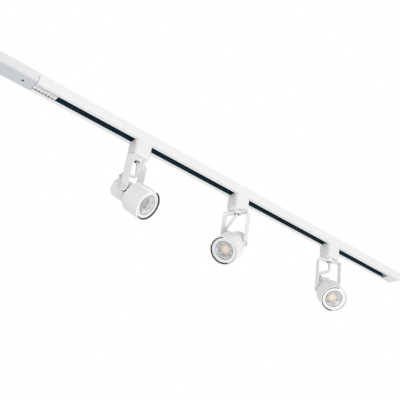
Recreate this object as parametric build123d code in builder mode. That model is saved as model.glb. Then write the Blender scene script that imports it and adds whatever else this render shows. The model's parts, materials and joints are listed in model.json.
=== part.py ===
"""Three-spot ceiling track light, built as separate pieces.

Millimetres, +Z up. The origin is the middle of the ceiling face of the track. X runs along the track
from the live end to the dead end.
"""
import math
import os

from build123d import *

# Track: the sizes that drive the rest
track_length = 1000.0
track_width = 35.0
track_height = 19.0
slot_width = 16.0
flange_thickness = 1.4
side_wall = 1.8
web_thickness = 2.0
track_corner = 0.8
ceiling_hole_spacing = 800.0
ceiling_hole_radius = 2.3
liner_hole_radius = 4.5

# Insulating liner and copper strips inside the track
cavity_width = 21.0
liner_web = 1.0
liner_lip = 0.6
groove_depth = 2.0
groove_height = 2.6
groove_middle = -5.2
copper_thickness = 0.8
copper_height = 2.0
copper_end_margin = 5.0

# Gaps between pieces
flat_gap = 0.2
slide_gap = 0.3
tongue_gap = 0.4
running_gap = 0.1
thread_gap = 0.05

# Live end
live_end_length = 100.0
live_end_wall = 2.0
live_end_corner = 4.0
live_end_seam = 0.8
plug_length = 44.5
plug_tail = 10.0
plug_side_gap = 1.4
rib_count = 6
rib_groove_width = 2.2
rib_groove_depth = 1.4
cover_screw_inset = 21.0
cover_screw_head_radius = 2.6
cover_screw_head_height = 1.0
cover_screw_radius = 1.2
cover_screw_length = 8.0
cover_slot_width = 0.8
screw_post_radius = 3.5
bar_thickness = 1.5
bar_height = 2.0
bar_grip = 35.0
terminal_gap = 33.0
terminal_length = 27.0
terminal_width = 25.0
terminal_height = 11.0
terminal_hole_radius = 1.8
terminal_screw_radius = 1.7
terminal_screw_height = 3.0
inlet_radius = 3.5
inlet_wall = 1.4
inlet_flange = 1.6
inlet_flange_thickness = 1.5

# Dead end
end_cap_flange = 9.0
end_cap_tongue = 26.0
end_cap_corner = 2.0

# Adapters
adapter_length = 36.0
adapter_height = 33.0
adapter_corner = 8.0
adapter_wall = 2.0
adapter_floor = 2.5
adapter_bevel = 2.0
lid_thickness = 3.0
neck_length = 28.0
wing_length = 22.0
wing_height = 12.8
blade_length = 16.0
blade_thickness = 1.5
blade_tip_gap = 0.3

# Release latch
latch_width = 10.0
latch_drop = 21.0
latch_travel = 3.0
latch_flange_width = 14.0
latch_flange_thickness = 1.3
latch_flange_height = 15.0
ridge_width = 8.0
ridge_depth = 0.8
ridge_height = 1.5

# Swivel stem
stem_bore_radius = 5.0
stem_wall = 1.0
stem_head_lip = 1.6
stem_head_height = 2.0
stem_collar_lip = 2.0
stem_collar_height = 1.5

# Yoke
yoke_inner_half = 25.5
yoke_thickness = 2.0
yoke_strip_width = 15.0
yoke_bend_radius = 4.5
yoke_boss_wall = 2.2
yoke_boss_height = 2.0
pivot_height = -127.0

# Lamp can, measured along its axis from the pivot
can_rear = -33.0
can_step_start = 7.0
can_step_end = 12.0
can_front = 50.0
can_rear_radius = 20.0
can_front_radius = 29.0
can_wall = 1.5
can_rear_round = 3.0
pad_radius = 6.5
pad_height = 1.2
gland_station = -26.0
gland_turn = 47.0
gland_boss_radius = 6.5
gland_boss_height = 5.0

# Pivot hardware
pivot_screw_radius = 2.0
pivot_head_radius = 5.0
pivot_head_height = 2.2
pivot_screw_reach = 8.0
screw_slot_width = 1.2
screw_slot_depth = 0.9
washer_radius = 7.0

# Lamp, holder and retaining ring
lamp_front = 47.5
lamp_rim_gap = 0.3
lamp_rim_height = 9.0
lamp_base_radius = 12.0
lamp_base_height = 13.0
lamp_base = -3.0
pin_radius = 2.5
pin_length = 7.5
pin_offset = 5.0
pin_gap = 0.3
holder_radius = 14.0
holder_height = 22.0
holder_neck_radius = 9.0
holder_bore_radius = 3.0
bowl_mouth_radius = 19.3
bowl_floor_radius = 8.5
bowl_depth = 20.0
bowl_gap = 0.1
lens_recess = 1.0
lens_pocket_gap = 0.4
bowl_belly_radius = 15.7
bowl_belly_height = 8.0
chip_radius = 5.8
chip_height = 1.4
ring_width = 2.6
ring_thickness = 1.5
ring_groove_depth = 0.5
ring_span = 196.0

# Lead and its grommet
lead_radius = 3.0
lead_gap = 0.1
grommet_wall = 1.4
grommet_flange = 1.5
lead_start_inside = 9.0
lead_rise = 7.5
lead_end_inside = 8.0
lead_bend = 9.0

# Each spot as photographed: place along the track, direction faced, and tilt from straight down
spot_places = (-274.0, -22.0, 264.0)
spot_headings = (-59.0, 205.5, 245.0)
spot_tilts = (58.0, 50.0, 49.0)

# Where the middle of each retaining ring lies, as an angle about the can from its pivot axis
ring_turns = (0.0, 180.0, 180.0)

# How far in front of the stem, and how far below it, each lead turns towards its can
lead_corners = ((6.0, 36.0), (0.0, 2.0), (6.0, 25.0))

# Levels and widths that follow from the sizes above
track_bottom = -track_height
flange_top = track_bottom + flange_thickness
lip_top = flange_top + liner_lip
slot_edge = slot_width / 2
clear_half = slot_edge - liner_lip
web_bottom = -web_thickness
half_length = track_length / 2
insulator_face = cavity_width / 2
insulator_back = track_width / 2 - side_wall
copper_back = insulator_face + groove_depth
copper_face = copper_back - copper_thickness
carrier_half = insulator_face - slide_gap
carrier_bottom = lip_top + flat_gap
liner_bottom = web_bottom - liner_web
carrier_top = liner_bottom - flat_gap
tongue_half = clear_half - tongue_gap

adapter_top = track_bottom - flat_gap
adapter_bottom = adapter_top - adapter_height
floor_top = adapter_bottom + adapter_floor
yoke_top = adapter_bottom - running_gap - yoke_boss_height
yoke_under = yoke_top - yoke_thickness
stem_bottom = yoke_under - stem_head_height
stem_radius = stem_bore_radius + stem_wall
stem_head_radius = stem_radius + stem_head_lip
stem_collar_radius = stem_radius + stem_collar_lip
yoke_boss_radius = stem_radius + yoke_boss_wall
stem_collar_bottom = floor_top + running_gap
stem_top = stem_collar_bottom + stem_collar_height
yoke_outer_half = yoke_inner_half + yoke_thickness

can_inner_rear = can_rear_radius - can_wall
can_inner_front = can_front_radius - can_wall
pad_face = can_rear_radius + pad_height
washer_face = yoke_inner_half - running_gap
pivot_head_face = yoke_outer_half + running_gap
gland_face = can_rear_radius + gland_boss_height
grommet_bore = lead_radius + lead_gap
grommet_radius = grommet_bore + grommet_wall
ring_outer_radius = can_inner_front + ring_groove_depth
ring_inner_radius = ring_outer_radius - ring_width
lamp_rim_radius = can_inner_front - lamp_rim_gap
bowl_floor = lamp_front - bowl_depth
screw_post_x = -half_length - cover_screw_inset
terminal_right = -half_length - terminal_gap


def save(part, name):
    """Label a piece and write it to its own file."""
    part.label = name
    export_step(part, f"parts/{name}.step")


def block(x_range, y_range, z_range, mode=Mode.ADD):
    """Add a box, or cut one, between two limits on each axis."""
    middle = [(low + high) / 2 for low, high in (x_range, y_range, z_range)]
    with Locations(tuple(middle)):
        Box(
            x_range[1] - x_range[0],
            y_range[1] - y_range[0],
            z_range[1] - z_range[0],
            mode=mode,
        )


def mirrored(y_near, y_far):
    """Give the two Y ranges that lie on either side of the middle of the track."""
    return (-y_far, -y_near), (y_near, y_far)


def post(radius, bottom, top, place=(0.0, 0.0), mode=Mode.ADD):
    """Add an upright cylinder, or cut one, between two levels."""
    with Locations((place[0], place[1], (bottom + top) / 2)):
        Cylinder(radius, top - bottom, mode=mode)


def cross_pin(radius, near, far, station, mode=Mode.ADD):
    """Add two cylinders along X, or cut them, on either side of the Z axis."""
    for side in (-1, 1):
        with Locations((side * (near + far) / 2, 0, station)):
            Cylinder(radius, far - near, rotation=(0, 90, 0), mode=mode)


def turned(outline):
    """Revolve an outline of radius and height about the Z axis."""
    with BuildSketch(Plane.XZ) as profile:
        with BuildLine():
            Polyline(*outline, close=True)
        make_face()
    revolve(profile.sketch, axis=Axis.Z)


def bowl_line(inset, recess):
    """Give three points down the lamp's bowl, moved inward, with the mouth set back if asked."""
    foot = (bowl_floor_radius - inset, bowl_floor)
    belly = (bowl_belly_radius - inset, bowl_floor + bowl_belly_height)
    flare = (bowl_mouth_radius - bowl_belly_radius) / (bowl_depth - bowl_belly_height)
    mouth = (bowl_mouth_radius - inset - flare * recess, lamp_front - recess)
    return foot, belly, mouth


def build_track():
    """Make the channel, the insulating liner in it, whose lips line the slot, and the copper strips."""
    hole_places = [(side * ceiling_hole_spacing / 2, 0) for side in (-1, 1)]
    with BuildPart() as channel:
        with BuildSketch(Plane.YZ):
            with Locations((0, -track_height / 2)):
                RectangleRounded(track_width, track_height, track_corner)
            with Locations((0, (flange_top + web_bottom) / 2)):
                Rectangle(2 * insulator_back, web_bottom - flange_top, mode=Mode.SUBTRACT)
            with Locations((0, (track_bottom + flange_top) / 2)):
                Rectangle(slot_width, flange_thickness, mode=Mode.SUBTRACT)
        extrude(amount=half_length, both=True)
        for place in hole_places:
            post(ceiling_hole_radius, web_bottom, 0, place, Mode.SUBTRACT)
    save(channel.part, "track_channel")

    with BuildPart() as liner:
        whole_length = (-half_length, half_length)
        block(whole_length, (-insulator_back, insulator_back), (flange_top, web_bottom))
        block(whole_length, (-slot_edge, slot_edge), (track_bottom, flange_top))
        block(whole_length, (-insulator_face, insulator_face), (lip_top, liner_bottom), Mode.SUBTRACT)
        block(whole_length, (-clear_half, clear_half), (track_bottom, lip_top), Mode.SUBTRACT)
        groove_levels = (groove_middle - groove_height / 2, groove_middle + groove_height / 2)
        for y_range in mirrored(insulator_face, copper_back):
            block(whole_length, y_range, groove_levels, Mode.SUBTRACT)
        for place in hole_places:
            post(liner_hole_radius, liner_bottom, web_bottom, place, Mode.SUBTRACT)
    save(liner.part, "track_insulators")

    copper_end = half_length - copper_end_margin
    copper_levels = (groove_middle - copper_height / 2, groove_middle + copper_height / 2)
    with BuildPart() as copper:
        for y_range in mirrored(copper_face, copper_back):
            block((-copper_end, copper_end), y_range, copper_levels)
    save(copper.part, "track_conductors")


def build_live_end():
    """Make the feed box, its cover and plug, and what carries the current."""
    left = -half_length - live_end_length
    right = -half_length
    box_right = right - live_end_seam
    half_width = track_width / 2
    cover_top = track_bottom + live_end_wall
    inner_left = left + live_end_wall
    inner_right = box_right - live_end_wall
    inner_half = half_width - live_end_wall
    inlet_level = -track_height / 2
    inlet_hole = inlet_radius + inlet_wall

    with BuildPart() as housing:
        block((left, box_right), (-half_width, half_width), (cover_top, 0))
        top_right = housing.edges().filter_by(Axis.Y).group_by(Axis.Z)[-1].sort_by(Axis.X)[-1]
        fillet(top_right, live_end_corner)
        block((inner_left, inner_right), (-inner_half, inner_half), (cover_top, web_bottom), Mode.SUBTRACT)
        opening_half = copper_face + live_end_wall / 4
        block((inner_right, box_right), (-opening_half, opening_half), (cover_top, web_bottom), Mode.SUBTRACT)
        with Locations((left + live_end_wall / 2, 0, inlet_level)):
            Cylinder(inlet_hole + thread_gap, live_end_wall, rotation=(0, 90, 0), mode=Mode.SUBTRACT)
        post(screw_post_radius, cover_top, web_bottom, (screw_post_x, 0))
        post(cover_screw_radius + thread_gap, cover_top, web_bottom, (screw_post_x, 0), Mode.SUBTRACT)
    save(housing.part, "live_end_housing")

    with BuildPart() as cover:
        block((left, box_right), (-half_width, half_width), (track_bottom, cover_top))
        edge_lines = cover.edges().filter_by(Axis.X).group_by(Axis.Z)[0]
        chamfer(edge_lines, track_corner)
        post(cover_screw_radius + running_gap, track_bottom, cover_top, (screw_post_x, 0), Mode.SUBTRACT)
        head_seat = track_bottom + cover_screw_head_height
        seat_radius = cover_screw_head_radius + running_gap
        post(seat_radius, track_bottom, head_seat, (screw_post_x, 0), Mode.SUBTRACT)
    save(cover.part, "live_end_cover")

    with BuildPart() as screw:
        post(cover_screw_head_radius, track_bottom, head_seat, (screw_post_x, 0))
        post(cover_screw_radius, head_seat, head_seat + cover_screw_length, (screw_post_x, 0))
        slot_half = cover_screw_head_radius
        slot_top = track_bottom + cover_screw_head_height / 2
        slot_x = (screw_post_x - cover_slot_width / 2, screw_post_x + cover_slot_width / 2)
        block(slot_x, (-slot_half, slot_half), (track_bottom, slot_top), Mode.SUBTRACT)
    save(screw.part, "cover_screw")

    plug_end = right + plug_length
    plug_half = clear_half - plug_side_gap
    with BuildPart() as plug:
        block((right - plug_tail, plug_end), (-carrier_half, carrier_half), (carrier_bottom, carrier_top))
        block((right, plug_end), (-plug_half, plug_half), (track_bottom, carrier_bottom))
        rib_pitch = plug_length / (rib_count + 1)
        groove_top = track_bottom + rib_groove_depth
        for number in range(1, rib_count + 1):
            groove_x = right + number * rib_pitch
            x_range = (groove_x - rib_groove_width / 2, groove_x + rib_groove_width / 2)
            block(x_range, (-plug_half, plug_half), (track_bottom, groove_top), Mode.SUBTRACT)
    save(plug.part, "live_end_plug")

    bar_levels = (groove_middle - bar_height / 2, groove_middle + bar_height / 2)
    with BuildPart() as bars:
        for y_range in mirrored(carrier_half, copper_face):
            block((terminal_right, right + bar_grip), y_range, bar_levels)
    save(bars.part, "live_end_contacts")

    terminal_left = terminal_right - terminal_length
    terminal_bottom = web_bottom - terminal_height
    screw_floor = terminal_bottom + terminal_screw_height
    screw_places = []
    for along in (0.25, 0.75):
        for side in (-1, 1):
            screw_places.append((terminal_left + along * terminal_length, side * terminal_width / 4))
    with BuildPart() as terminals:
        half_terminal = terminal_width / 2
        block((terminal_left, terminal_right), (-half_terminal, half_terminal), (terminal_bottom, web_bottom))
        for place in screw_places:
            post(terminal_hole_radius, terminal_bottom, screw_floor, place, Mode.SUBTRACT)
        wire_level = (screw_floor + web_bottom) / 2
        for side in (-1, 1):
            with Locations((terminal_left + terminal_length / 4, side * terminal_width / 4, wire_level)):
                Cylinder(terminal_hole_radius, terminal_length / 2, rotation=(0, 90, 0), mode=Mode.SUBTRACT)
    save(terminals.part, "terminal_block")

    with BuildPart() as clamps:
        for place in screw_places:
            post(terminal_screw_radius, terminal_bottom, screw_floor, place)
    save(clamps.part, "terminal_screws")

    flange_radius = inlet_hole + inlet_flange
    inner_reach = live_end_wall + inlet_flange_thickness
    with BuildPart() as grommet:
        turned(
            (
                (inlet_radius, -inlet_flange_thickness),
                (flange_radius, -inlet_flange_thickness),
                (flange_radius, 0),
                (inlet_hole, 0),
                (inlet_hole, live_end_wall),
                (flange_radius, live_end_wall),
                (flange_radius, inner_reach),
                (inlet_radius, inner_reach),
            )
        )
    inlet = Plane(origin=(left, 0, inlet_level), x_dir=(0, 1, 0), z_dir=(1, 0, 0))
    save(inlet.location * grommet.part, "cable_grommet")


def build_end_cap():
    """Make the dead end: a flange as large as the track, and a tongue that fills the slot."""
    flange_end = half_length + end_cap_flange
    tongue_start = half_length - end_cap_tongue
    half_width = track_width / 2
    with BuildPart() as cap:
        block((half_length, flange_end), (-half_width, half_width), (track_bottom, 0))
        outer_edges = cap.faces().sort_by(Axis.X)[-1].edges()
        chamfer(outer_edges, track_corner)
        block((tongue_start, half_length), (-carrier_half, carrier_half), (carrier_bottom, carrier_top))
        block((tongue_start, half_length), (-tongue_half, tongue_half), (track_bottom, carrier_bottom))
    save(cap.part, "end_cap")


def build_adapter(number, place):
    """Make the box under the track, the head that goes into the slot, and the latch."""
    seat = Location((place, 0, 0))
    inner_length = adapter_length - 2 * adapter_wall
    inner_width = track_width - 2 * adapter_wall
    wall_outer = adapter_length / 2
    wall_inner = wall_outer - adapter_wall
    latch_bottom = adapter_top - latch_drop
    latch_top = lip_top - running_gap
    latch_half = latch_width / 2

    with BuildPart() as housing:
        with BuildSketch(Plane.XY.offset(adapter_bottom)):
            RectangleRounded(adapter_length, track_width, adapter_corner)
        extrude(amount=adapter_height)
        chamfer(housing.faces().sort_by(Axis.Z)[0].edges(), adapter_bevel)
        with BuildSketch(Plane.XY.offset(floor_top)):
            RectangleRounded(inner_length, inner_width, adapter_corner - adapter_wall)
        extrude(amount=adapter_height, mode=Mode.SUBTRACT)
        post(stem_radius + running_gap, adapter_bottom, floor_top, mode=Mode.SUBTRACT)
        slot_half = latch_half + flat_gap
        slot_bottom = latch_bottom - latch_travel - adapter_wall
        block((wall_inner, wall_outer), (-slot_half, slot_half), (slot_bottom, adapter_top), Mode.SUBTRACT)
    save(seat * housing.part, f"adapter_housing_{number}")

    wing_top = carrier_bottom + wing_height
    with BuildPart() as head:
        with BuildSketch(Plane.XY.offset(adapter_top - lid_thickness)):
            lid_corner = adapter_corner - adapter_wall - running_gap
            RectangleRounded(inner_length - flat_gap, inner_width - flat_gap, lid_corner)
        extrude(amount=lid_thickness)
        neck = (-neck_length / 2, neck_length / 2)
        block(neck, (-tongue_half, tongue_half), (adapter_top, carrier_bottom))
        wing = (-wing_length / 2, wing_length / 2)
        block(wing, (-carrier_half, carrier_half), (carrier_bottom, wing_top))
    save(seat * head.part, f"adapter_head_{number}")

    blade_levels = (groove_middle - blade_thickness / 2, groove_middle + blade_thickness / 2)
    with BuildPart() as blades:
        for y_range in mirrored(carrier_half, copper_face - blade_tip_gap):
            block((-blade_length / 2, blade_length / 2), y_range, blade_levels)
    save(seat * blades.part, f"adapter_contacts_{number}")

    flange_outer = wall_inner - running_gap
    flange_inner = flange_outer - latch_flange_thickness
    flange_half = latch_flange_width / 2
    with BuildPart() as latch:
        flange_levels = (latch_bottom, latch_bottom + latch_flange_height)
        block((wall_inner, wall_outer), (-latch_half, latch_half), (latch_bottom, latch_top))
        block((flange_inner, wall_inner), (-latch_half, latch_half), flange_levels)
        block((flange_inner, flange_outer), (-flange_half, flange_half), flange_levels)
        for count in (1, 3, 5):
            ridge_bottom = latch_bottom + count * ridge_height
            ridge_levels = (ridge_bottom, ridge_bottom + ridge_height)
            block((wall_outer, wall_outer + ridge_depth), (-ridge_width / 2, ridge_width / 2), ridge_levels)
    save(seat * latch.part, f"release_latch_{number}")


def build_yoke(number, place, heading):
    """Make the hollow stem and the U-shaped yoke, which turn together."""
    seat = Location((place, 0, 0), (0, 0, heading + 90))
    with BuildPart() as stem:
        post(stem_head_radius, stem_bottom, yoke_under)
        post(stem_radius, yoke_under, stem_collar_bottom)
        post(stem_collar_radius, stem_collar_bottom, stem_top)
        post(stem_bore_radius, stem_bottom, stem_top, mode=Mode.SUBTRACT)
    save(seat * stem.part, f"swivel_stem_{number}")

    half_strip = yoke_strip_width / 2
    arm_bottom = pivot_height - half_strip
    inner_bend = yoke_bend_radius - yoke_thickness
    outline = (
        (-yoke_outer_half, arm_bottom),
        (-yoke_outer_half, yoke_top),
        (yoke_outer_half, yoke_top),
        (yoke_outer_half, arm_bottom),
        (yoke_inner_half, arm_bottom),
        (yoke_inner_half, yoke_under),
        (-yoke_inner_half, yoke_under),
        (-yoke_inner_half, arm_bottom),
    )
    bends = (0, yoke_bend_radius, yoke_bend_radius, 0, 0, inner_bend, inner_bend, 0)
    with BuildPart() as yoke:
        with BuildSketch(Plane.XZ):
            with BuildLine():
                FilletPolyline(*outline, radius=bends, close=True)
            make_face()
        extrude(amount=half_strip, both=True)
        with BuildSketch(Plane.YZ):
            with Locations((0, (yoke_top + pivot_height) / 2)):
                Rectangle(yoke_strip_width, yoke_top - pivot_height)
            with Locations((0, pivot_height)):
                Circle(half_strip)
        extrude(amount=yoke_outer_half, both=True, mode=Mode.INTERSECT)
        post(yoke_boss_radius, yoke_top, yoke_top + yoke_boss_height)
        post(stem_radius + thread_gap, yoke_under, yoke_top + yoke_boss_height, mode=Mode.SUBTRACT)
        pivot_hole = pivot_screw_radius + running_gap
        cross_pin(pivot_hole, yoke_inner_half, yoke_outer_half, pivot_height, Mode.SUBTRACT)
    save(seat * yoke.part, f"yoke_{number}")


def build_can(number, seat):
    """Make the stepped can with its pads and grommet, and the hardware that it tilts on."""
    groove_front = lamp_front + ring_thickness + running_gap
    groove_back = lamp_front - running_gap
    groove_radius = ring_outer_radius + running_gap
    outward = Vector(0, 1, 0).rotate(Axis.Z, gland_turn)
    gland_foot = outward * can_inner_rear + Vector(0, 0, gland_station)
    gland = Plane(origin=gland_foot, x_dir=(0, 0, 1), z_dir=outward)
    with BuildPart() as can:
        turned(
            (
                (0, can_rear),
                (can_rear_radius, can_rear),
                (can_rear_radius, can_step_start),
                (can_front_radius, can_step_end),
                (can_front_radius, can_front),
                (can_inner_front, can_front),
                (can_inner_front, groove_front),
                (groove_radius, groove_front),
                (groove_radius, groove_back),
                (can_inner_front, groove_back),
                (can_inner_front, can_step_end + can_wall / 2),
                (can_inner_rear, can_step_start + can_wall / 2),
                (can_inner_rear, can_rear + can_wall),
                (0, can_rear + can_wall),
            )
        )
        rear_edge = can.edges().filter_by(GeomType.CIRCLE).sort_by(Axis.Z)[0]
        fillet(rear_edge, can_rear_round)
        cross_pin(pad_radius, can_inner_rear, pad_face, 0)
        gland_depth = gland_face - can_inner_rear
        with Locations(gland.location * Location((0, 0, gland_depth / 2))):
            Cylinder(gland_boss_radius, gland_depth)
            Cylinder(grommet_radius + thread_gap, gland_depth + 2 * can_wall, mode=Mode.SUBTRACT)
        thread_radius = pivot_screw_radius + thread_gap
        cross_pin(thread_radius, can_inner_rear - 2 * can_wall, pad_face, 0, Mode.SUBTRACT)
    save(seat * can.part, f"lamp_can_{number}")

    with BuildPart() as grommet:
        turned(
            (
                (grommet_bore, 0),
                (grommet_radius, 0),
                (grommet_radius, gland_face - can_inner_rear),
                (grommet_radius + grommet_flange, gland_face - can_inner_rear),
                (grommet_radius + grommet_flange, gland_face - can_inner_rear + grommet_flange),
                (grommet_bore, gland_face - can_inner_rear + grommet_flange),
            )
        )
    save(seat * gland.location * grommet.part, f"lead_grommet_{number}")

    with BuildPart() as screws:
        cross_pin(pivot_screw_radius, pivot_head_face - pivot_screw_reach, pivot_head_face, 0)
        cross_pin(pivot_head_radius, pivot_head_face, pivot_head_face + pivot_head_height, 0)
        head_top = pivot_head_face + pivot_head_height
        slot_floor = head_top - screw_slot_depth
        for x_range in ((-head_top, -slot_floor), (slot_floor, head_top)):
            slot_levels = (-screw_slot_width / 2, screw_slot_width / 2)
            block(x_range, (-pivot_head_radius, pivot_head_radius), slot_levels, Mode.SUBTRACT)
    save(seat * screws.part, f"pivot_screws_{number}")

    with BuildPart() as washers:
        cross_pin(washer_radius, pad_face, washer_face, 0)
        cross_pin(pivot_screw_radius + thread_gap, pad_face, washer_face, 0, Mode.SUBTRACT)
    save(seat * washers.part, f"pivot_washers_{number}")


def build_lamp(number, seat, ring_turn):
    """Make the ceramic holder, the lamp that plugs into it with its lens and chip, and the ring in front."""
    holder_bottom = lamp_base - holder_height
    neck_bottom = can_rear + can_wall
    with BuildPart() as holder:
        post(holder_neck_radius, neck_bottom, holder_bottom)
        post(holder_radius, holder_bottom, lamp_base)
        post(holder_bore_radius, neck_bottom, holder_bottom, mode=Mode.SUBTRACT)
        for side in (-1, 1):
            hole_bottom = lamp_base - pin_length - pin_gap
            hole_radius = pin_radius + pin_gap
            post(hole_radius, hole_bottom, lamp_base, (side * pin_offset, 0), Mode.SUBTRACT)
    save(seat * holder.part, f"lampholder_{number}")

    base_top = lamp_base + lamp_base_height
    rim_back = lamp_front - lamp_rim_height
    with BuildPart() as lamp:
        turned(
            (
                *bowl_line(0, 0),
                (lamp_rim_radius, lamp_front),
                (lamp_rim_radius, rim_back),
                (lamp_base_radius, base_top),
                (lamp_base_radius, lamp_base),
                (0, lamp_base),
                (0, bowl_floor),
            )
        )
        for side in (-1, 1):
            post(pin_radius, lamp_base - pin_length, lamp_base, (side * pin_offset, 0))
    save(seat * lamp.part, f"lamp_body_{number}")

    pocket_radius = chip_radius + lens_pocket_gap
    pocket_top = bowl_floor + chip_height + lens_pocket_gap
    with BuildPart() as lens:
        turned(
            (
                *bowl_line(bowl_gap, lens_recess),
                (0, lamp_front - lens_recess),
                (0, pocket_top),
                (pocket_radius, pocket_top),
                (pocket_radius, bowl_floor),
            )
        )
    save(seat * lens.part, f"lamp_lens_{number}")

    with BuildPart() as chip:
        post(chip_radius, bowl_floor, bowl_floor + chip_height)
    save(seat * chip.part, f"led_chip_{number}")

    with BuildPart() as ring:
        with BuildSketch(Plane.XZ) as section:
            with Locations((ring_outer_radius - ring_width / 2, lamp_front + ring_thickness / 2)):
                Rectangle(ring_width, ring_thickness)
        revolve(section.sketch, axis=Axis.Z, revolution_arc=ring_span)
    ring_seat = Location((0, 0, 0), (0, 0, ring_turn - ring_span / 2))
    save(seat * ring_seat * ring.part, f"retaining_ring_{number}")


def build_lead(number, place, heading, tilt, corner_place):
    """Make the lead: down out of the stem, across to the tilted can, and back into its grommet."""
    turn = math.radians(heading)
    lean = math.radians(tilt)
    forward = Vector(math.cos(turn), math.sin(turn), 0)
    up = Vector(0, 0, 1)
    facing = forward * math.sin(lean) - up * math.cos(lean)
    above = forward * math.cos(lean) + up * math.sin(lean)
    outward = above.rotate(Axis((0, 0, 0), tuple(facing)), gland_turn)
    pivot = Vector(place, 0, pivot_height)
    gland_axis = pivot + facing * gland_station
    start = Vector(place, 0, stem_bottom + lead_start_inside)
    end = gland_axis + outward * (gland_face - lead_end_inside)
    leave = gland_axis + outward * (gland_face + grommet_flange + lead_rise)
    corner = Vector(place, 0, stem_bottom - corner_place[1]) + forward * corner_place[0]
    points = [start, corner, leave, end]
    radii = []
    for before, here, after in zip(points, points[1:], points[2:]):
        first = here - before
        second = after - here
        half_turn = math.radians(first.get_angle(second)) / 2
        largest = 0.48 * min(first.length, second.length) / math.tan(half_turn)
        radii.append(min(lead_bend, largest))
    with BuildPart() as lead:
        with BuildLine() as route:
            FilletPolyline(*points, radius=radii)
        with BuildSketch(Plane(origin=start, z_dir=corner - start)):
            Circle(lead_radius)
        sweep(path=route.wires()[0])
    save(lead.part, f"lead_{number}")
    print(f"lead {number}: bend radii", [round(radius, 1) for radius in radii])
    print("  length", round(route.wires()[0].length, 1), "volume", round(lead.part.volume, 1))


os.makedirs("parts", exist_ok=True)
build_track()
build_live_end()
build_end_cap()
for index, (place, heading, tilt) in enumerate(zip(spot_places, spot_headings, spot_tilts)):
    number = index + 1
    build_adapter(number, place)
    build_yoke(number, place, heading)
    turn = math.radians(heading)
    lean = math.radians(tilt)
    pivot_axis = (-math.sin(turn), math.cos(turn), 0)
    facing = (math.sin(lean) * math.cos(turn), math.sin(lean) * math.sin(turn), -math.cos(lean))
    head_seat = Plane(origin=(place, 0, pivot_height), x_dir=pivot_axis, z_dir=facing).location
    build_can(number, head_seat)
    build_lamp(number, head_seat, ring_turns[index])
    build_lead(number, place, heading, tilt, lead_corners[index])
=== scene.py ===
"""Looks of the three-spot ceiling track light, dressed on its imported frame.

Metres, +Z up. The origin is the middle of the track's ceiling face, and X runs from the live end to the
dead end.
"""
import json
import math

import bmesh
import bpy
import numpy as np
from mathutils import Matrix, Vector


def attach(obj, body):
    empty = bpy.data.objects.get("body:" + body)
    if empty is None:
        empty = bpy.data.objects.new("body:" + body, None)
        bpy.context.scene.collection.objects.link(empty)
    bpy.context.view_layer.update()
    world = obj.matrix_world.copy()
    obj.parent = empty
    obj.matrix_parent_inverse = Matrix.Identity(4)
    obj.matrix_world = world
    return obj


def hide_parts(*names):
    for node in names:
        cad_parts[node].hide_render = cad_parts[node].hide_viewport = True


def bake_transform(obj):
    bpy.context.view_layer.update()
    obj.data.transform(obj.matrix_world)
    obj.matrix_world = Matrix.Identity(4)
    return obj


MM = 0.001

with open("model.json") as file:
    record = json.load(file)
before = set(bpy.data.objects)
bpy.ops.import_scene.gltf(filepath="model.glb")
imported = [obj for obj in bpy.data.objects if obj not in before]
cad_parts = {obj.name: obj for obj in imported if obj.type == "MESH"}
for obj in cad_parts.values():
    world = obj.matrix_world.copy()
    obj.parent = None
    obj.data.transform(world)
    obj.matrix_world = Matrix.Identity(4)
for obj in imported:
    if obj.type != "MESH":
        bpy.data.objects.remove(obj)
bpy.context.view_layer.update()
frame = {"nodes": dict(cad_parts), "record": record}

# Camera, fitted to the edges of the track, the yokes and the lamps in the photograph
camera_place = (-0.7585, -0.9164, -0.6611)
camera_right = (0.76646, -0.62642, 0.14191)
camera_up = (-0.39611, -0.28707, 0.87217)
camera_back = (-0.50561, -0.72470, -0.46816)
camera_lens = 57.54
camera_sensor = 36.0
camera_far = 60.0

# The spots as they stand at rest: place along the track, heading, tilt from straight down, turn of the ring,
# and how far in front of the stem and below it the lead turns towards the can
spots = (
    {"place": -274.0, "heading": -59.0, "tilt": 58.0, "ring": 0.0, "corner": (6.0, 36.0)},
    {"place": -22.0, "heading": 205.5, "tilt": 50.0, "ring": 180.0, "corner": (0.0, 2.0)},
    {"place": 264.0, "heading": 245.0, "tilt": 49.0, "ring": 180.0, "corner": (6.0, 25.0)},
)
pivot_height = -127.0

# Sizes of the pieces made here, in millimetres and, for the gland's turn, degrees, as in the solids that they
# stand for
stem_bottom = -58.3
stem_bore_radius = 5.0
lead_radius = 3.0
lead_start = -49.3
lead_bend = 9.0
gland_station = -26.0
gland_turn = 47.0
lead_leave = 34.0
lead_end = 17.0
lens_side = ((8.4, 27.5), (15.6, 35.5), (18.9, 46.5))
lens_pocket_radius = 6.2
lens_pocket_top = 29.3
lens_dip = 0.4
chip_floor = 27.5
ring_middle = 26.7
ring_half_width = 1.3
ring_front = 49.0
ring_back = 47.5
chip_base = ((0.0, 0.0), (5.8, 0.0), (5.8, 0.8), (5.4, 1.0), (4.9, 1.0))
chip_dome_radius = 4.7
chip_dome_foot = 0.7
chip_dome_rise = 0.9
silver_margin = 0.1

# The ring's arc in degrees, the power that squares its section, and the share of its full section in the
# first steps from each end
ring_span = 196.0
ring_squareness = 0.6
ring_end_swell = (0.02, 0.6, 0.85, 0.97)
# The share of a short straight of the lead that the bend at one of its ends may take
bend_share = 0.48

# How finely the pieces made here are divided
tube_sides = 20
bend_steps = 17
ring_steps = 97
cone_steps = 9
front_steps = 33
lens_sides = 96
dome_steps = 9
chip_sides = 48

# The stage, in metres and watts: a pale floor, the strength of the white surround on the pieces and to the
# eye, and two soft square lights
floor_reach = 8.0
floor_level = -2.3
surround_light = 0.70
surround_seen = 1.0
lit_point = (0.0, 0.0, -0.08)
lights = (
    {"name": "key", "place": (-0.26, -2.08, -1.64), "size": 1.6, "power": 31.0},
    {"name": "overhead", "place": (0.0, 0.35, 1.9), "size": 1.0, "power": 7.0},
)


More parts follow.
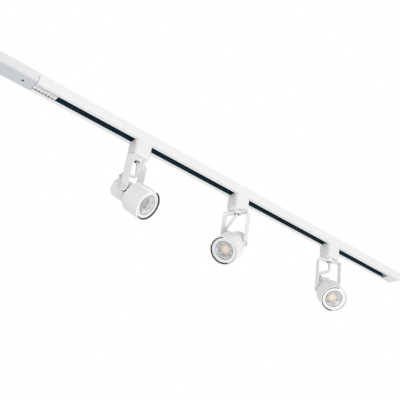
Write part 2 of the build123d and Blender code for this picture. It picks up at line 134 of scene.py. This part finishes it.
class Spot:
    """The axes of one tilted can, in the frame of the whole part."""

    def __init__(self, facts):
        turn = math.radians(facts["heading"])
        lean = math.radians(facts["tilt"])
        forward = np.array([math.cos(turn), math.sin(turn), 0.0])
        up = np.array([0.0, 0.0, 1.0])
        self.place = facts["place"]
        self.forward = forward
        self.pivot = np.array([facts["place"], 0.0, pivot_height])
        self.side = np.array([-math.sin(turn), math.cos(turn), 0.0])
        self.facing = math.sin(lean) * forward - math.cos(lean) * up
        self.top = math.cos(lean) * forward + math.sin(lean) * up

    def put(self, points):
        """Turn points given as side, top and facing millimetres into metres in the part's frame."""
        points = np.asarray(points, float)
        axes = np.array([self.side, self.top, self.facing])
        return (self.pivot + points @ axes) * MM

    def measure(self, points):
        """Turn points in metres in the part's frame into side, top and facing millimetres."""
        away = np.asarray(points, float) / MM - self.pivot
        return away @ self.side, away @ self.top, away @ self.facing


def rounded_line(points, bend, count):
    """Give points along a bent line whose corners are arcs that touch both of their straights.

    Where a straight is short, its corner's arc is tighter, so that it takes just under half of the straight.
    """
    line = [points[:1]]
    for before, here, after in zip(points, points[1:], points[2:]):
        back, onward = before - here, after - here
        shorter = min(np.linalg.norm(back), np.linalg.norm(onward))
        back, onward = back / np.linalg.norm(back), onward / np.linalg.norm(onward)
        half_turn = (math.pi - math.acos(float(back @ onward))) / 2
        radius = min(bend, bend_share * shorter / math.tan(half_turn))
        inward = (back + onward) / np.linalg.norm(back + onward)
        centre = here + inward * radius / math.cos(half_turn)
        across = np.cross(np.cross(back, onward), inward)
        across /= np.linalg.norm(across)
        sweep = np.linspace(-half_turn, half_turn, count)[:, None] * np.sign(across @ onward)
        line.append(centre - radius * (inward * np.cos(sweep) - across * np.sin(sweep)))
    line.append(points[-1:])
    return np.concatenate(line)


def grid_mesh(name, grid, around, along):
    """Make a mesh from a grid of points, closed the first or the second way if asked, with faces outward."""
    grid = np.asarray(grid, float)
    rows, columns = grid.shape[:2]
    numbers = np.arange(rows * columns).reshape(rows, columns)
    if around:
        numbers = np.concatenate([numbers, numbers[:1]], axis=0)
    if along:
        numbers = np.concatenate([numbers, numbers[:, :1]], axis=1)
    faces = np.stack(
        [numbers[:-1, :-1], numbers[1:, :-1], numbers[1:, 1:], numbers[:-1, 1:]], axis=-1
    ).reshape(-1, 4)
    mesh = bpy.data.meshes.new(name)
    mesh.from_pydata(grid.reshape(-1, 3).tolist(), [], faces.tolist())
    shell = bmesh.new()
    shell.from_mesh(mesh)
    bmesh.ops.remove_doubles(shell, verts=shell.verts, dist=1e-7)
    bmesh.ops.dissolve_degenerate(shell, dist=1e-8, edges=shell.edges)
    bmesh.ops.recalc_face_normals(shell, faces=shell.faces)
    shell.to_mesh(mesh)
    shell.free()
    mesh.polygons.foreach_set("use_smooth", np.ones(len(mesh.polygons), bool))
    piece = bpy.data.objects.new(name, mesh)
    bpy.context.scene.collection.objects.link(piece)
    return piece


def turned(name, spot, outline, sides):
    """Revolve a closed outline of radius and station about a can's axis."""
    outline = np.asarray(outline, float)
    turns = np.linspace(0, 2 * math.pi, sides, endpoint=False)[:, None]
    radius, station = outline[None, :, 0], outline[None, :, 1]
    grid = np.stack(
        [radius * np.cos(turns), radius * np.sin(turns), station + 0 * turns], axis=-1
    )
    return grid_mesh(name, spot.put(grid), True, True)


def node_group(name, inputs, outputs):
    """Start a shader node group with the given sockets, and give it with its two end nodes."""
    group = bpy.data.node_groups.new(name, "ShaderNodeTree")
    for label, kind, value in inputs:
        socket = group.interface.new_socket(label, in_out="INPUT", socket_type=kind)
        if value is not None:
            socket.default_value = value
    for label, kind in outputs:
        group.interface.new_socket(label, in_out="OUTPUT", socket_type=kind)
    start = group.nodes.new("NodeGroupInput")
    end = group.nodes.new("NodeGroupOutput")
    return group, start, end


def make_finish_group():
    """A group that breaks up a plain finish: soft clouds of tone, uneven gloss and a fine skin of bumps."""
    group, start, end = node_group(
        "uneven_finish",
        (
            ("Light tone", "NodeSocketColor", (0.8, 0.8, 0.8, 1.0)),
            ("Dark tone", "NodeSocketColor", (0.7, 0.7, 0.7, 1.0)),
            ("Cloud scale", "NodeSocketFloat", 30.0),
            ("Skin scale", "NodeSocketFloat", 1500.0),
            ("Skin depth", "NodeSocketFloat", 0.05),
            ("Gloss low", "NodeSocketFloat", 0.2),
            ("Gloss high", "NodeSocketFloat", 0.3),
        ),
        (("Color", "NodeSocketColor"), ("Roughness", "NodeSocketFloat"), ("Normal", "NodeSocketVector")),
    )
    cloud_detail, skin_detail = 4.0, 2.0
    cloud_span = (0.35, 0.65)
    bump_distance = 0.0004
    nodes, links = group.nodes, group.links
    place = nodes.new("ShaderNodeTexCoord")
    clouds = nodes.new("ShaderNodeTexNoise")
    clouds.inputs["Detail"].default_value = cloud_detail
    skin = nodes.new("ShaderNodeTexNoise")
    skin.inputs["Detail"].default_value = skin_detail
    links.new(place.outputs["Object"], clouds.inputs["Vector"])
    links.new(place.outputs["Object"], skin.inputs["Vector"])
    links.new(start.outputs["Cloud scale"], clouds.inputs["Scale"])
    links.new(start.outputs["Skin scale"], skin.inputs["Scale"])
    tone = nodes.new("ShaderNodeMix")
    tone.data_type = "RGBA"
    links.new(clouds.outputs["Fac"], tone.inputs["Factor"])
    links.new(start.outputs["Dark tone"], tone.inputs["A"])
    links.new(start.outputs["Light tone"], tone.inputs["B"])
    gloss = nodes.new("ShaderNodeMapRange")
    gloss.inputs["From Min"].default_value = cloud_span[0]
    gloss.inputs["From Max"].default_value = cloud_span[1]
    links.new(clouds.outputs["Fac"], gloss.inputs["Value"])
    links.new(start.outputs["Gloss low"], gloss.inputs["To Min"])
    links.new(start.outputs["Gloss high"], gloss.inputs["To Max"])
    bump = nodes.new("ShaderNodeBump")
    bump.inputs["Distance"].default_value = bump_distance
    links.new(skin.outputs["Fac"], bump.inputs["Height"])
    links.new(start.outputs["Skin depth"], bump.inputs["Strength"])
    links.new(tone.outputs["Result"], end.inputs["Color"])
    links.new(gloss.outputs["Result"], end.inputs["Roughness"])
    links.new(bump.outputs["Normal"], end.inputs["Normal"])
    return group


def link_math(group, operation, first, second=0.0):
    """Add a math node fed by two sockets or numbers, and give its result."""
    node = group.nodes.new("ShaderNodeMath")
    node.operation = operation
    for socket, source in zip(node.inputs, (first, second)):
        if isinstance(source, float):
            socket.default_value = source
        else:
            group.links.new(source, socket)
    return node.outputs["Value"]


def link_vector(group, operation, *sources):
    """Add a vector math node fed by sockets, and give the node."""
    node = group.nodes.new("ShaderNodeVectorMath")
    node.operation = operation
    for socket, source in zip(node.inputs, sources):
        group.links.new(source, socket)
    return node


def link_step(group, value, span, start, end):
    """Add a smooth step from one number to another while a value crosses a span, and give its result."""
    node = group.nodes.new("ShaderNodeMapRange")
    node.interpolation_type = "SMOOTHSTEP"
    for label, number in (("From Min", span[0]), ("From Max", span[1]), ("To Min", start), ("To Max", end)):
        node.inputs[label].default_value = number
    group.links.new(value, node.inputs["Value"])
    return node.outputs["Result"]


def link_tones(group, factor, first, second, blend="MIX"):
    """Add a mix of two colours, and give its result."""
    node = group.nodes.new("ShaderNodeMix")
    node.data_type = "RGBA"
    node.blend_type = blend
    if isinstance(factor, float):
        node.inputs["Factor"].default_value = factor
    else:
        group.links.new(factor, node.inputs["Factor"])
    group.links.new(first, node.inputs["A"])
    group.links.new(second, node.inputs["B"])
    return node.outputs["Result"]


def make_lens_shading_group():
    """A group that paints shade and reflections into a lens by the distance from its axis, measured at two
    depths.

    At the front, the distance gives a painted shadow along the rim. At the light source's depth, where the
    line of sight meets it, the distance gives a painted warm reflection of the source in the middle, a floor
    darkened by painted shade and a wall paled by a painted sheen, broken into rings of facets of uneven
    brightness that are painted glints. The warm middle shows only to an eye near the axis.
    """
    group, start, end = node_group(
        "lens_painted_shade_and_reflections",
        (
            ("Tone", "NodeSocketColor", (1.0, 1.0, 1.0, 1.0)),
            ("Painted warm reflection", "NodeSocketColor", (1.0, 0.87, 0.70, 1.0)),
            ("Painted floor shade", "NodeSocketColor", (0.56, 0.57, 0.58, 1.0)),
            ("Painted wall sheen", "NodeSocketColor", (0.93, 0.94, 0.96, 1.0)),
            ("Painted rim shadow", "NodeSocketColor", (0.34, 0.35, 0.36, 1.0)),
            ("Centre", "NodeSocketVector", None),
            ("Axis", "NodeSocketVector", None),
            ("Side", "NodeSocketVector", None),
            ("Reach", "NodeSocketFloat", 0.019),
            ("Depth", "NodeSocketFloat", 0.008),
            ("Rings", "NodeSocketFloat", 6.0),
            ("Facets a radian", "NodeSocketFloat", 20.0 / math.tau),
        ),
        (("Color", "NodeSocketColor"),),
    )
    # Spans of the distance from the axis, as a share of the reach
    wall_span = (0.5, 1.1)
    middle_span = (0.2, 0.75)
    contrast_span = (0.05, 0.45)
    rim_span = (0.86, 1.0)
    # Spans of the cosine between the line of sight and the axis, and of the random brightness of a painted
    # glint facet
    eye_span = (0.72, 0.88)
    facet_span = (0.1, 0.9)
    # The least cosine that is reckoned with, and how strongly the painted rim shadow, the painted glint
    # facets and their middle show
    least_cosine = 0.25
    rim_weight = 0.8
    dimmest_facet = 0.6
    coolest_facet = 0.85
    middle_contrast = 0.4

    place = group.nodes.new("ShaderNodeTexCoord").outputs["Object"]
    eye = group.nodes.new("ShaderNodeVectorTransform")
    eye.vector_type = "VECTOR"
    eye.convert_from = "WORLD"
    eye.convert_to = "OBJECT"
    group.links.new(group.nodes.new("ShaderNodeNewGeometry").outputs["Incoming"], eye.inputs["Vector"])
    axis, reach = start.outputs["Axis"], start.outputs["Reach"]

    away = link_vector(group, "SUBTRACT", place, start.outputs["Centre"]).outputs["Vector"]
    across = link_vector(group, "CROSS_PRODUCT", away, axis).outputs["Vector"]
    slant = link_vector(group, "CROSS_PRODUCT", eye.outputs["Vector"], axis).outputs["Vector"]
    along = link_vector(group, "DOT_PRODUCT", eye.outputs["Vector"], axis).outputs["Value"]
    steepness = link_math(group, "MAXIMUM", along, least_cosine)
    shift = group.nodes.new("ShaderNodeVectorMath")
    shift.operation = "SCALE"
    group.links.new(slant, shift.inputs["Vector"])
    group.links.new(link_math(group, "DIVIDE", start.outputs["Depth"], steepness), shift.inputs["Scale"])
    deep = link_vector(group, "SUBTRACT", across, shift.outputs["Vector"]).outputs["Vector"]
    front_share = link_math(group, "DIVIDE", link_vector(group, "LENGTH", across).outputs["Value"], reach)
    deep_share = link_math(group, "DIVIDE", link_vector(group, "LENGTH", deep).outputs["Value"], reach)

    wall = link_step(group, deep_share, wall_span, 0.0, 1.0)
    middle = link_step(group, deep_share, middle_span, 1.0, 0.0)
    near_axis = link_step(group, along, eye_span, 0.0, 1.0)
    rim = link_step(group, front_share, rim_span, 0.0, rim_weight)
    top = link_vector(group, "CROSS_PRODUCT", axis, start.outputs["Side"]).outputs["Vector"]
    to_side = link_vector(group, "DOT_PRODUCT", deep, start.outputs["Side"]).outputs["Value"]
    to_top = link_vector(group, "DOT_PRODUCT", deep, top).outputs["Value"]
    turn = link_math(group, "ARCTAN2", to_side, to_top)
    ring = link_math(group, "FLOOR", link_math(group, "MULTIPLY", deep_share, start.outputs["Rings"]))
    count = link_math(group, "MULTIPLY", turn, start.outputs["Facets a radian"])
    staggered = link_math(group, "ADD", count, link_math(group, "MULTIPLY", ring, 0.5))
    cell = group.nodes.new("ShaderNodeCombineXYZ")
    group.links.new(link_math(group, "FLOOR", staggered), cell.inputs["X"])
    group.links.new(ring, cell.inputs["Y"])
    facets = group.nodes.new("ShaderNodeTexWhiteNoise")
    facets.noise_dimensions = "2D"
    group.links.new(cell.outputs["Vector"], facets.inputs["Vector"])
    brightness = link_step(group, facets.outputs["Value"], facet_span, dimmest_facet, 1.0)
    warmth = link_step(group, facets.outputs["Value"], facet_span, 1.0, coolest_facet)
    # Painted shade on the floor and a painted sheen on the wall, broken by painted glints, then the painted
    # warm reflection of the source and the painted shadow along the rim
    tone = link_tones(group, wall, start.outputs["Painted floor shade"], start.outputs["Painted wall sheen"])
    contrast = link_step(group, deep_share, contrast_span, middle_contrast, 1.0)
    tone = link_tones(group, contrast, tone, brightness, "MULTIPLY")
    warm_share = link_math(group, "MULTIPLY", link_math(group, "MULTIPLY", middle, near_axis), warmth)
    tone = link_tones(group, warm_share, tone, start.outputs["Painted warm reflection"])
    tone = link_tones(group, rim, tone, start.outputs["Painted rim shadow"])
    tone = link_tones(group, 1.0, tone, start.outputs["Tone"], "MULTIPLY")
    group.links.new(tone, end.inputs["Color"])
    return group


def make_bore_shade_group():
    """A group that paints shade into an upright tube: a near-black painted shade near its axis, and the
    outside tone farther out.
    """
    group, start, end = node_group(
        "painted_bore_shade",
        (
            ("Outside tone", "NodeSocketColor", (0.9, 0.9, 0.9, 1.0)),
            ("Painted bore shade", "NodeSocketColor", (0.03, 0.028, 0.026, 1.0)),
            ("Axis place", "NodeSocketVector", None),
            ("Bore radius", "NodeSocketFloat", 0.005),
        ),
        (("Color", "NodeSocketColor"),),
    )
    edge_span = (1.02, 1.08)
    place = group.nodes.new("ShaderNodeTexCoord").outputs["Object"]
    away = link_vector(group, "SUBTRACT", place, start.outputs["Axis place"])
    level = group.nodes.new("ShaderNodeVectorMath")
    level.operation = "MULTIPLY"
    level.inputs[1].default_value = (1.0, 1.0, 0.0)
    group.links.new(away.outputs["Vector"], level.inputs[0])
    distance = link_vector(group, "LENGTH", level.outputs["Vector"]).outputs["Value"]
    share = link_math(group, "DIVIDE", distance, start.outputs["Bore radius"])
    outside = link_step(group, share, edge_span, 0.0, 1.0)
    tone = link_tones(group, outside, start.outputs["Painted bore shade"], start.outputs["Outside tone"])
    group.links.new(tone, end.inputs["Color"])
    return group


finish_group = make_finish_group()
lens_shading_group = make_lens_shading_group()
bore_shade_group = make_bore_shade_group()


def finish(name, light, dark, gloss, cloud_scale=30.0, skin_scale=1500.0, skin_depth=0.05, metal=0.0):
    """Make a material from the uneven finish: two tones, a range of roughness, and a skin of bumps."""
    material = bpy.data.materials.new(name)
    material.use_nodes = True
    nodes, links = material.node_tree.nodes, material.node_tree.links
    shader = nodes["Principled BSDF"]
    shader.inputs["Metallic"].default_value = metal
    group = nodes.new("ShaderNodeGroup")
    group.name = "uneven_finish"
    group.node_tree = finish_group
    group.inputs["Light tone"].default_value = (*light, 1.0)
    group.inputs["Dark tone"].default_value = (*dark, 1.0)
    group.inputs["Cloud scale"].default_value = cloud_scale
    group.inputs["Skin scale"].default_value = skin_scale
    group.inputs["Skin depth"].default_value = skin_depth
    group.inputs["Gloss low"].default_value = gloss[0]
    group.inputs["Gloss high"].default_value = gloss[1]
    for socket, target in (("Color", "Base Color"), ("Roughness", "Roughness"), ("Normal", "Normal")):
        links.new(group.outputs[socket], shader.inputs[target])
    return material


materials = {
    "white_paint": finish(
        "white_paint", (0.90, 0.90, 0.905), (0.87, 0.87, 0.88), (0.20, 0.30), skin_depth=0.03
    ),
    "white_plastic": finish(
        "white_plastic", (0.88, 0.88, 0.88), (0.85, 0.85, 0.855), (0.34, 0.46), 30.0, 2600.0, 0.08
    ),
    "black_plastic": finish(
        "black_plastic", (0.016, 0.045, 0.068), (0.010, 0.030, 0.046), (0.45, 0.6), skin_scale=2000.0
    ),
    "cream_plastic": finish("cream_plastic", (0.74, 0.67, 0.52), (0.68, 0.61, 0.46), (0.35, 0.5)),
    "copper": finish(
        "copper", (0.80, 0.42, 0.24), (0.62, 0.30, 0.17), (0.22, 0.38), cloud_scale=90.0, metal=1.0
    ),
    "zinc_steel": finish(
        "zinc_steel", (0.88, 0.88, 0.89), (0.76, 0.76, 0.78), (0.3, 0.45), 220.0, metal=1.0
    ),
    "dark_steel": finish(
        "dark_steel", (0.20, 0.20, 0.21), (0.12, 0.12, 0.13), (0.35, 0.5), 220.0, metal=1.0
    ),
    "feed_plastic": finish(
        "feed_plastic", (0.82, 0.82, 0.83), (0.79, 0.79, 0.80), (0.4, 0.55), 30.0, 2600.0, 0.08
    ),
    "cover_plastic": finish(
        "cover_plastic", (0.67, 0.69, 0.71), (0.64, 0.66, 0.685), (0.4, 0.55), 30.0, 2600.0, 0.08
    ),
    "white_rubber": finish("white_rubber", (0.72, 0.72, 0.71), (0.66, 0.66, 0.65), (0.55, 0.7)),
    "lead_sleeve": finish(
        "lead_sleeve", (0.84, 0.84, 0.85), (0.78, 0.78, 0.79), (0.4, 0.55), 600.0, 3000.0, 0.2
    ),
    "holder_ceramic": finish("holder_ceramic", (0.76, 0.73, 0.66), (0.70, 0.67, 0.60), (0.4, 0.6)),
    "lamp_shell": finish("lamp_shell", (0.86, 0.86, 0.86), (0.82, 0.82, 0.825), (0.25, 0.35)),
    "silvered_back": finish(
        "silvered_back", (0.80, 0.80, 0.81), (0.74, 0.74, 0.76), (0.45, 0.55), metal=1.0
    ),
    "led_yellow": finish("led_yellow", (0.95, 0.66, 0.36), (0.92, 0.60, 0.30), (0.3, 0.4), 900.0),
    # The retaining ring's finish is near-black and not metal: a black ring, and partly painted shade standing
    # for the gap at the lamp's rim
    "spring_steel": finish(
        "spring_steel", (0.010, 0.010, 0.012), (0.006, 0.006, 0.007), (0.45, 0.6), 300.0
    ),
}

# The ring's shine is turned down so that this painted shade at the rim stays dark
ring_shader = materials["spring_steel"].node_tree.nodes["Principled BSDF"]
ring_shader.inputs["Specular IOR Level"].default_value = 0.1
chip_shader = materials["led_yellow"].node_tree.nodes["Principled BSDF"]
chip_shader.inputs["Emission Color"].default_value = (1.0, 0.70, 0.44, 1.0)
chip_shader.inputs["Emission Strength"].default_value = 0.4


def lens_material(number, spot):
    """Make the finish of one lens: clear, with painted shade, painted glints and a painted warm reflection,
    measured from its own axis.
    """
    material = finish(f"clear_lens_{number}", (1.0, 1.0, 1.0), (0.95, 0.95, 0.96), (0.10, 0.16))
    nodes, links = material.node_tree.nodes, material.node_tree.links
    shader = nodes["Principled BSDF"]
    shader.inputs["Transmission Weight"].default_value = 0.15
    uneven = nodes["uneven_finish"]
    mouth_radius, mouth = lens_side[-1]
    # The lens's base colour is painted shade and reflection, worked out from the lens's own axis
    depth = nodes.new("ShaderNodeGroup")
    depth.node_tree = lens_shading_group
    depth.inputs["Centre"].default_value = tuple(spot.put((0.0, 0.0, mouth)))
    depth.inputs["Axis"].default_value = tuple(spot.facing)
    depth.inputs["Side"].default_value = tuple(spot.side)
    depth.inputs["Reach"].default_value = mouth_radius * MM
    links.new(uneven.outputs["Color"], depth.inputs["Tone"])
    links.new(depth.outputs["Color"], shader.inputs["Base Color"])
    return material


def stem_material(number, spot):
    """Make the finish of one stem: white paint outside, and painted shade in its bore."""
    material = materials["white_paint"].copy()
    material.name = f"stem_paint_and_bore_shade_{number}"
    nodes, links = material.node_tree.nodes, material.node_tree.links
    uneven = nodes["uneven_finish"]
    # Painted shade: the inside of the bore is drawn near-black, as shade where light does not reach into the
    # stem
    bore = nodes.new("ShaderNodeGroup")
    bore.node_tree = bore_shade_group
    bore.inputs["Axis place"].default_value = (spot.place * MM, 0.0, 0.0)
    bore.inputs["Bore radius"].default_value = stem_bore_radius * MM
    links.new(uneven.outputs["Color"], bore.inputs["Outside tone"])
    links.new(bore.outputs["Color"], nodes["Principled BSDF"].inputs["Base Color"])
    return material


# Each imported node takes the finish of its slot, but the feed box and its plug are greyer than the adapters,
# the box's cover is greyer still, and the cover's screw is dark. Each lens is made further down with a finish
# of its own that carries painted shade and reflections, and each stem is given one there with painted shade
# in its bore.
own_finish = {
    "live_end_housing": "feed_plastic",
    "live_end_plug": "feed_plastic",
    "live_end_cover": "cover_plastic",
    "cover_screw": "dark_steel",
}
for entry in frame["record"]["subparts"]:
    if entry["material_slot"] == "clear_lens":
        continue
    piece = frame["nodes"][entry["node"]]
    finish_name = own_finish.get(entry["node"], entry["material_slot"])
    piece.data.materials.clear()
    piece.data.materials.append(materials[finish_name])


def add_piece(piece, slot, body, *nodes):
    """Give a piece the finish of a slot, let it ride on a body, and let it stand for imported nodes."""
    piece.data.materials.append(materials[slot])
    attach(piece, body)
    if nodes:
        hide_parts(*nodes)
    return piece


def make_lens(number, spot):
    """The lens: two cones turned about the axis, a pocket at the back, and a front that dips by a cosine.

    The cones and the flat round the pocket are silvered, and the front and the pocket are clear, with painted
    shade and reflections in their colour.
    """
    mouth_radius, mouth = lens_side[-1]
    cones = np.concatenate([np.linspace(a, b, cone_steps) for a, b in zip(lens_side, lens_side[1:])])
    reach = np.linspace(mouth_radius, 0.0, front_steps)[1:]
    dip = lens_dip * (np.cos(math.pi * reach / mouth_radius) + 1) / 2
    front = np.stack([reach, mouth - dip], axis=1)
    pocket = [(0.0, lens_pocket_top), (lens_pocket_radius, lens_pocket_top), (lens_pocket_radius, chip_floor)]
    piece = turned(f"moulded_lens_{number}", spot, np.concatenate([pocket, cones, front]), lens_sides)
    piece.data.materials.append(lens_material(number, spot))
    piece.data.materials.append(materials["silvered_back"])
    centres = np.zeros(3 * len(piece.data.polygons))
    piece.data.polygons.foreach_get("center", centres)
    across, height, along = spot.measure(centres.reshape(-1, 3))
    outside_pocket = np.hypot(across, height) > lens_pocket_radius + silver_margin
    silvered = outside_pocket & (along < mouth - lens_dip - silver_margin)
    piece.data.polygons.foreach_set("material_index", silvered.astype(np.int32))
    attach(piece, f"spot_body_{number}")
    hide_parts(f"lamp_lens_{number}")
    return piece


def make_chip(number, spot):
    """The light source: a flat round base with a raised rim round a low dome."""
    rise = np.linspace(0, math.pi / 2, dome_steps)
    dome_height = chip_dome_foot + chip_dome_rise * np.sin(rise)
    dome = np.stack([chip_dome_radius * np.cos(rise), dome_height], axis=1)
    outline = np.concatenate([chip_base, dome]) + (0.0, chip_floor)
    piece = turned(f"light_source_{number}", spot, outline, chip_sides)
    return add_piece(piece, "led_yellow", f"spot_body_{number}", f"led_chip_{number}")


def make_ring(number, spot, middle_turn):
    """The retaining ring: a rounded flat wire bent into an open arc, closed to a point at both ends,
    near-black so that it is also painted shade for the gap at the lamp's rim.
    """
    section = np.linspace(0, 2 * math.pi, tube_sides, endpoint=False)
    half_height = (ring_front - ring_back) / 2
    turns = np.radians(np.linspace(-ring_span / 2, ring_span / 2, ring_steps) + middle_turn)
    swell = np.ones(len(turns))
    swell[: len(ring_end_swell)] = ring_end_swell
    swell[-len(ring_end_swell):] = ring_end_swell[::-1]
    width = ring_half_width * np.sign(np.cos(section)) * np.abs(np.cos(section)) ** ring_squareness
    height = half_height * np.sign(np.sin(section)) * np.abs(np.sin(section)) ** ring_squareness
    radius = ring_middle + swell[:, None] * width[None, :]
    station = (ring_front + ring_back) / 2 + swell[:, None] * height[None, :]
    grid = np.stack([radius * np.cos(turns)[:, None], radius * np.sin(turns)[:, None], station], axis=-1)
    piece = grid_mesh(f"ring_and_rim_shade_{number}", spot.put(grid), False, True)
    return add_piece(piece, "spring_steel", f"spot_body_{number}", f"retaining_ring_{number}")


def make_lead(number, spot, corner_place):
    """The lead: a circle carried along the bent line from the stem to the can, capped at both ends."""
    axis_point = spot.pivot + spot.facing * gland_station
    start = np.array([spot.place, 0.0, lead_start])
    corner = np.array([spot.place, 0.0, stem_bottom - corner_place[1]]) + spot.forward * corner_place[0]
    turn = math.radians(gland_turn)
    outward = math.cos(turn) * spot.top - math.sin(turn) * spot.side
    leave = axis_point + outward * lead_leave
    end = axis_point + outward * lead_end
    line = rounded_line(np.array([start, corner, leave, end]) * MM, lead_bend * MM, bend_steps)
    tangent = np.gradient(line, axis=0)
    tangent /= np.linalg.norm(tangent, axis=1)[:, None]
    first = np.cross(tangent, spot.side)
    first /= np.linalg.norm(first, axis=1)[:, None]
    second = np.cross(tangent, first)
    section = np.linspace(0, 2 * math.pi, tube_sides, endpoint=False)
    around_first = np.cos(section)[None, :, None] * first[:, None, :]
    around_second = np.sin(section)[None, :, None] * second[:, None, :]
    rings = line[:, None, :] + lead_radius * MM * (around_first + around_second)
    caps = [np.broadcast_to(line[k], rings[:1].shape[1:])[None] for k in (0, -1)]
    piece = grid_mesh(f"sleeved_lead_{number}", np.concatenate([caps[0], rings, caps[1]]), False, True)
    piece.data.materials.append(materials["lead_sleeve"])
    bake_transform(piece)
    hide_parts(f"lead_{number}")
    return piece


for index, facts in enumerate(spots):
    spot = Spot(facts)
    frame["nodes"][f"swivel_stem_{index + 1}"].data.materials[0] = stem_material(index + 1, spot)
    make_lens(index + 1, spot)
    make_chip(index + 1, spot)
    make_ring(index + 1, spot, facts["ring"])
    make_lead(index + 1, spot, facts["corner"])


def make_camera():
    """Put the camera where the photograph was taken from."""
    data = bpy.data.cameras.new("photo_camera")
    data.sensor_width = camera_sensor
    data.lens = camera_lens
    data.clip_end = camera_far
    camera = bpy.data.objects.new("photo_camera", data)
    bpy.context.scene.collection.objects.link(camera)
    turn = Matrix((camera_right, camera_up, camera_back)).transposed().to_4x4()
    camera.matrix_world = Matrix.Translation(camera_place) @ turn
    bpy.context.scene.camera = camera


def make_area_light(name, place, target, size, power):
    """A soft square light that looks at a target."""
    data = bpy.data.lights.new(name, "AREA")
    data.size = size
    data.energy = power
    light = bpy.data.objects.new(name, data)
    light.location = place
    light.rotation_euler = (Vector(target) - Vector(place)).to_track_quat("-Z", "Y").to_euler()
    bpy.context.scene.collection.objects.link(light)


def make_stage():
    """A pale floor well below the ceiling fixture, soft lights, and a white surround."""
    size, level = floor_reach, floor_level
    corners = [(-size, -size, level), (size, -size, level), (size, size, level), (-size, size, level)]
    mesh = bpy.data.meshes.new("floor")
    mesh.from_pydata(corners, [], [(0, 1, 2, 3)])
    floor = bpy.data.objects.new("floor", mesh)
    mesh.materials.append(finish("floor_paper", (0.86, 0.86, 0.86), (0.84, 0.84, 0.84), (0.8, 0.9), 0.5))
    bpy.context.scene.collection.objects.link(floor)

    world = bpy.data.worlds.new("surround")
    world.use_nodes = True
    bpy.context.scene.world = world
    nodes, links = world.node_tree.nodes, world.node_tree.links
    path = nodes.new("ShaderNodeLightPath")
    seen = path.outputs["Is Camera Ray"]
    for kind in ("Is Glossy Ray", "Is Transmission Ray"):
        either = nodes.new("ShaderNodeMath")
        either.operation = "MAXIMUM"
        links.new(seen, either.inputs[0])
        links.new(path.outputs[kind], either.inputs[1])
        seen = either.outputs["Value"]
    strength = nodes.new("ShaderNodeMix")
    strength.inputs["A"].default_value = surround_light
    strength.inputs["B"].default_value = surround_seen
    links.new(seen, strength.inputs["Factor"])
    nodes["Background"].inputs["Color"].default_value = (1.0, 1.0, 1.0, 1.0)
    links.new(strength.outputs["Result"], nodes["Background"].inputs["Strength"])
    for light in lights:
        make_area_light(light["name"], light["place"], lit_point, light["size"], light["power"])


make_camera()
make_stage()
scene = bpy.context.scene
scene.view_settings.view_transform = "Standard"
scene.view_settings.look = "None"
